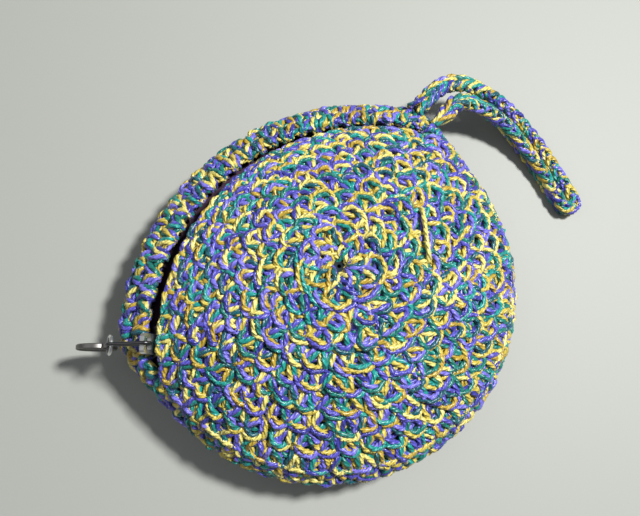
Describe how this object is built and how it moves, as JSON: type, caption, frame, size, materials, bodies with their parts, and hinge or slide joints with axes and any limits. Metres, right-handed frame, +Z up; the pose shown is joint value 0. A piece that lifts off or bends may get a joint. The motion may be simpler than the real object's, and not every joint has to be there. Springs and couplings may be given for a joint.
{
  "type": "zipped crochet coin purse",
  "caption": "Round puffy crocheted coin purse with a curved zip near one edge, a small disc pull on the slider and a crocheted finger loop.",
  "frame": {"origin": "on the table below the middle of the round body, in the plane of the flat base", "axes": "+Z up, away from the table; +Y towards the mouth with its zip; +X towards the corner with the finger loop, so the closed slider is at -X"},
  "size_m": [0.1292, 0.0884, 0.0295],
  "materials": {
    "crochet_back": "satin crochet cotton in gold, teal and violet strands",
    "crochet_front": "satin crochet cotton in gold, teal and violet strands",
    "yarn_gold": "satin mercerised cotton",
    "yarn_teal": "satin mercerised cotton",
    "zip_tape": "matt woven tape",
    "zip_teeth": "satin",
    "dark_metal": "dark, worn",
    "bright_metal": "polished, worn",
    "worn_metal": "dull, worn",
    "sewing_thread": "matt"
  },
  "bodies": {
    "purse": {"back_panel": "crochet_back", "front_panel": "crochet_front", "joining_round": "yarn_gold", "zip_tape_back": "zip_tape", "zip_teeth_back": "zip_teeth", "zip_top_stops": "dark_metal", "zip_bottom_stop": "dark_metal", "loop_stitches": "yarn_teal", "sewing_thread_back": "sewing_thread"},
    "lip": {"front_lip": "crochet_front", "zip_tape_front": "zip_tape", "zip_teeth_front": "zip_teeth", "sewing_thread_front": "sewing_thread"},
    "slider": {"slider_body": "dark_metal", "slider_bridge": "bright_metal"},
    "link": {"pull_link": "dark_metal"},
    "ring": {"pull_ring": "bright_metal"},
    "disc": {"pull_disc": "worn_metal"},
    "loop": {"finger_loop": "yarn_gold"}
  },
  "joints": [
    {"name": "slider_travel", "type": "hinge", "parent": "purse", "child": "slider", "pos_m": [0, -0.0202, 0], "axis": [0, 0, 1], "range_deg": [-93.5, 0], "deforming": ["zip_teeth_back", "zip_teeth_front", "zip_tape_front"]},
    {"name": "mouth_open", "type": "hinge", "parent": "purse", "child": "lip", "pos_m": [-0.00103, 0.01965, 0.022], "axis": [0.9986, 0.0523, 0], "range_deg": [0, 18.01]},
    {"name": "link_swing", "type": "hinge", "parent": "slider", "child": "link", "pos_m": [-0.04222, 0.01507, 0.02061], "axis": [-0.6494, -0.7604, 0], "range_deg": [-100, 1]},
    {"name": "ring_swing", "type": "hinge", "parent": "link", "child": "ring", "pos_m": [-0.04754, 0.01962, 0.01806], "axis": [-0.6494, -0.7604, 0], "range_deg": [-25, 1]},
    {"name": "disc_swing", "type": "hinge", "parent": "ring", "child": "disc", "pos_m": [-0.04853, 0.02046, 0.01449], "axis": [-0.6494, -0.7604, 0], "range_deg": [-30, 1]},
    {"name": "strap_lift", "type": "hinge", "parent": "purse", "child": "loop", "pos_m": [0.0512, 0.0159, 0.014], "axis": [0, -1, 0], "range_deg": [0, 75]}
  ],
  "couplings": [
    {"joint": "mouth_open", "follows": "slider_travel", "ratio": -0.19251}
  ]
}
